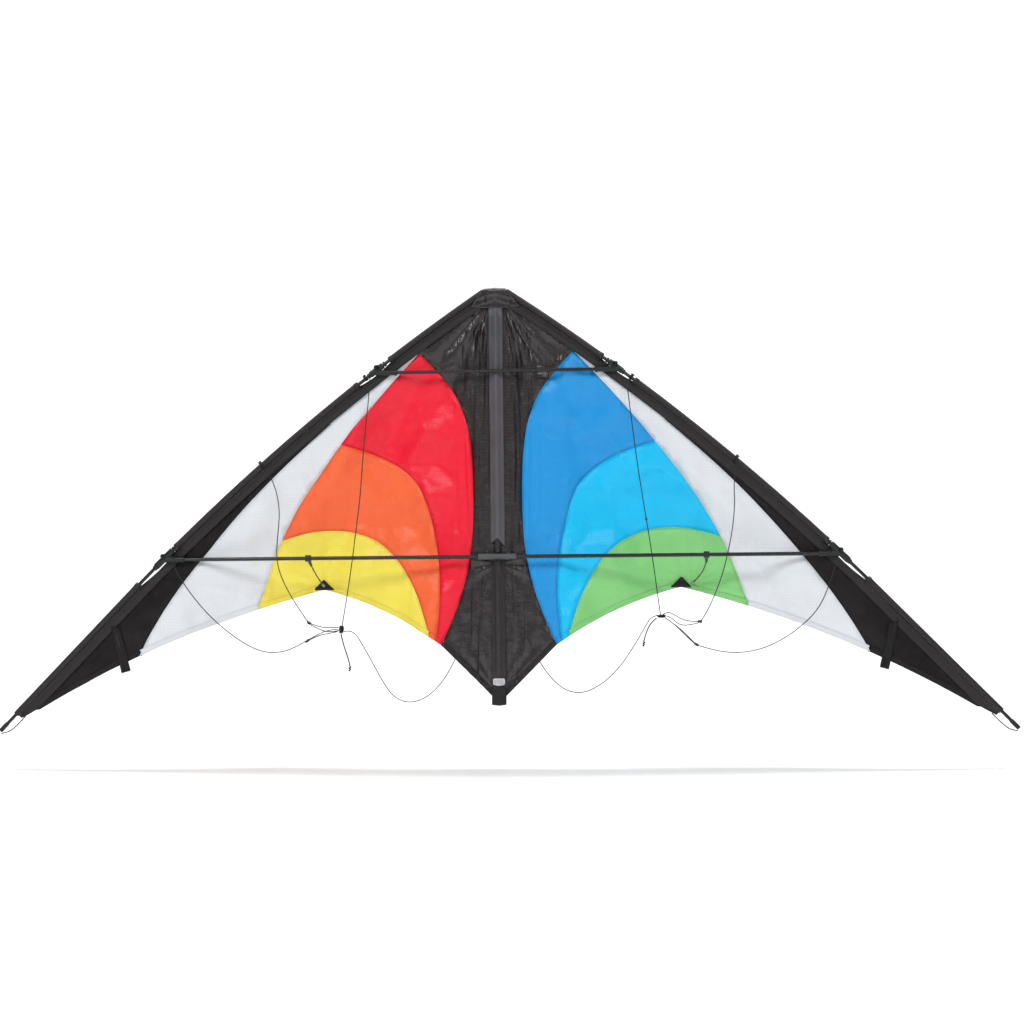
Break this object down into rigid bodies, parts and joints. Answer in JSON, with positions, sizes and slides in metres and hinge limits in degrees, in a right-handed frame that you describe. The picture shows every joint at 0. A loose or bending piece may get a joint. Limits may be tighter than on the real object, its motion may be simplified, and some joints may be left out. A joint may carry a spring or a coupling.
{
  "type": "delta kite",
  "caption": "Two-line delta stunt kite with a billowed ripstop sail, carbon frame, moulded fittings, standoffs and a slack front bridle with tow leaders.",
  "frame": {"origin": "middle of the upper spreader's axis, where a hook holds the kite against a wall", "axes": "+Z from the tail to the nose, +X along the wing span towards the blue wing, -Y out of the bridle side"},
  "size_m": [1.5996, 0.089, 0.6939],
  "materials": {
    "black_ripstop": "thin woven ripstop nylon, slight sheen",
    "red_ripstop": "thin woven ripstop nylon, slight sheen",
    "orange_ripstop": "thin woven ripstop nylon, slight sheen",
    "yellow_ripstop": "thin woven ripstop nylon, slight sheen",
    "blue_ripstop": "thin woven ripstop nylon, slight sheen",
    "cyan_ripstop": "thin woven ripstop nylon, slight sheen",
    "green_ripstop": "thin woven ripstop nylon, slight sheen",
    "white_ripstop": "thin woven ripstop nylon, slight sheen",
    "sleeve_cloth": "heavy black polyester cloth",
    "webbing": "ribbed black webbing",
    "label": "blank woven label",
    "carbon_rod": "polished black carbon fibre tube",
    "ferrule": "plain carbon fibre rod",
    "fitting": "moulded dark rubber, semi-gloss",
    "nock": "moulded black plastic",
    "foot": "moulded light grey plastic",
    "bridle_line": "braided grey-olive line",
    "leader_line": "braided dark line"
  },
  "bodies": {
    "kite": {"batten_pockets": "sleeve_cloth", "blank_label": "label", "center_panel": "black_ripstop", "center_tee": "fitting", "left_black_tip_panel": "black_ripstop", "left_bridle_knots": "bridle_line", "left_inner_bridle_leg": "bridle_line", "left_leading_edge_sleeve": "sleeve_cloth", "left_lower_fitting": "fitting", "left_lower_spar": "carbon_rod", "left_lower_spreader": "carbon_rod", "left_middle_bridle_leg": "bridle_line", "left_orange_panel": "orange_ripstop", "left_outer_bridle_leg": "bridle_line", "left_red_panel": "red_ripstop", "left_tip_nock": "nock", "left_tip_tension_cord": "leader_line", "left_upper_bridle_leg": "bridle_line", "left_upper_fitting": "fitting", "left_upper_spar": "carbon_rod", "left_white_panel": "white_ripstop", "left_yellow_panel": "yellow_ripstop", "nose_patch": "webbing", "right_black_tip_panel": "black_ripstop", "right_blue_panel": "blue_ripstop", "right_bridle_knots": "bridle_line", "right_cyan_panel": "cyan_ripstop", "right_green_panel": "green_ripstop", "right_inner_bridle_leg": "bridle_line", "right_leading_edge_sleeve": "sleeve_cloth", "right_lower_fitting": "fitting", "right_lower_spar": "carbon_rod", "right_lower_spreader": "carbon_rod", "right_middle_bridle_leg": "bridle_line", "right_outer_bridle_leg": "bridle_line", "right_tip_nock": "nock", "right_tip_tension_cord": "leader_line", "right_upper_bridle_leg": "bridle_line", "right_upper_fitting": "fitting", "right_upper_spar": "carbon_rod", "right_white_panel": "white_ripstop", "spar_end_caps": "nock", "spar_ferrules": "ferrule", "spar_stops": "fitting", "spine_sleeve": "sleeve_cloth", "spine_spar": "carbon_rod", "standoff_patches": "sleeve_cloth", "tail_tab": "webbing", "tip_battens": "carbon_rod", "upper_spreader": "carbon_rod"},
    "left_standoff": {"left_standoff_clip": "fitting", "left_standoff_rod": "carbon_rod", "left_standoff_foot": "foot"},
    "left_tow": {"left_tow_leader": "leader_line", "left_leader_knot": "leader_line"},
    "right_standoff": {"right_standoff_clip": "fitting", "right_standoff_rod": "carbon_rod", "right_standoff_foot": "foot"},
    "right_tow": {"right_tow_leader": "leader_line", "right_leader_knot": "leader_line"}
  },
  "joints": [
    {"name": "left_standoff_swing", "type": "hinge", "parent": "kite", "child": "left_standoff", "pos_m": [-0.299, 0, -0.29], "axis": [-1, 0, 0], "range_deg": [0, 100]},
    {"name": "left_tow_swing", "type": "hinge", "parent": "kite", "child": "left_tow", "pos_m": [-0.2455, -0.014, -0.4095], "axis": [-1, 0, 0], "range_deg": [-45, 110]},
    {"name": "right_standoff_swing", "type": "hinge", "parent": "kite", "child": "right_standoff", "pos_m": [0.325, 0, -0.29], "axis": [-1, 0, 0], "range_deg": [0, 100]},
    {"name": "right_tow_swing", "type": "hinge", "parent": "kite", "child": "right_tow", "pos_m": [0.2465, -0.014, -0.386], "axis": [-1, 0, 0], "range_deg": [-45, 110]}
  ]
}
